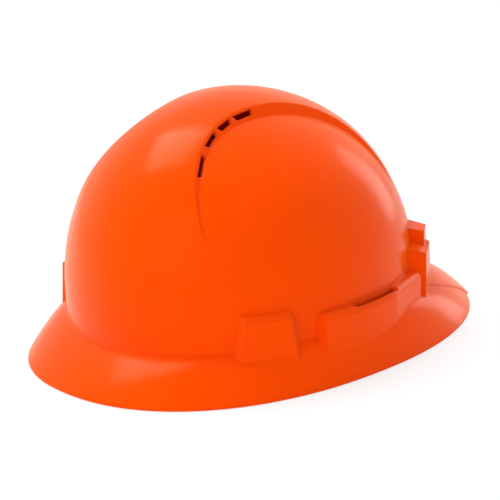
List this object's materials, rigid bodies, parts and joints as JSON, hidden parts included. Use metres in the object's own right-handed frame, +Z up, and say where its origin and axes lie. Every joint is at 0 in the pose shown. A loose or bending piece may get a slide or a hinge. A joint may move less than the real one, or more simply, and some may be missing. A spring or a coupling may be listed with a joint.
{
  "type": "full brim hard hat",
  "caption": "Full brim safety helmet: a moulded shell with crest vents, key pockets and accessory slots over a webbing suspension with a toothed nape ratchet.",
  "frame": {"origin": "middle of the footprint, on the plane that the brim's edge stands on", "axes": "+X to the wearer's left, +Y to the rear, +Z up through the crown"},
  "size_m": [0.2356, 0.3173, 0.163],
  "materials": {
    "shell_plastic": "glossy injection moulded polyethylene",
    "key_plastic": "moulded nylon",
    "band_plastic": "flexible moulded polyethylene",
    "housing_plastic": "fine spark-eroded texture",
    "knob_plastic": "moulded, fluted rim",
    "gear_plastic": "natural acetal",
    "webbing": "woven polyester webbing",
    "pad_cloth": "knitted cloth over foam",
    "screw_steel": "zinc plated"
  },
  "bodies": {
    "hat": {"shell": "shell_plastic", "front_left_key": "key_plastic", "front_right_key": "key_plastic", "rear_left_key": "key_plastic", "rear_right_key": "key_plastic", "crown_strap_a": "webbing", "crown_strap_b": "webbing", "crown_pad": "pad_cloth", "headband": "band_plastic", "brow_pad": "pad_cloth", "side_pegs": "key_plastic"},
    "nape": {"ratchet_housing": "housing_plastic", "housing_cover": "housing_plastic", "housing_screws": "screw_steel", "detent_ring": "gear_plastic", "nape_pad": "pad_cloth"},
    "knob": {"knob": "knob_plastic", "pinion": "gear_plastic", "knob_screw": "screw_steel", "click_spring": "screw_steel"},
    "left_arm": {"left_arm": "band_plastic"},
    "right_arm": {"right_arm": "band_plastic"}
  },
  "joints": [
    {"name": "nape_slide", "type": "slide", "parent": "hat", "child": "nape", "axis": [0, -1, 0], "range_m": [-0.003, 0.017]},
    {"name": "knob_turn", "type": "hinge", "parent": "nape", "child": "knob", "pos_m": [0, 0.1, 0.021], "axis": [0, -1, 0], "range_deg": [-27.6, 155.9]},
    {"name": "left_arm_wrap", "type": "hinge", "parent": "nape", "child": "left_arm", "pos_m": [0, 0.0105, 0.021], "axis": [0, 0, 1], "range_deg": [-2.2, 12.2]},
    {"name": "right_arm_wrap", "type": "hinge", "parent": "nape", "child": "right_arm", "pos_m": [0, 0.0105, 0.021], "axis": [0, 0, 1], "range_deg": [-12.5, 2.25]}
  ],
  "couplings": [
    {"joint": "knob_turn", "follows": "nape_slide", "rad_per_m": 160},
    {"joint": "left_arm_wrap", "follows": "nape_slide", "rad_per_m": 12.422},
    {"joint": "right_arm_wrap", "follows": "nape_slide", "rad_per_m": -12.771}
  ]
}
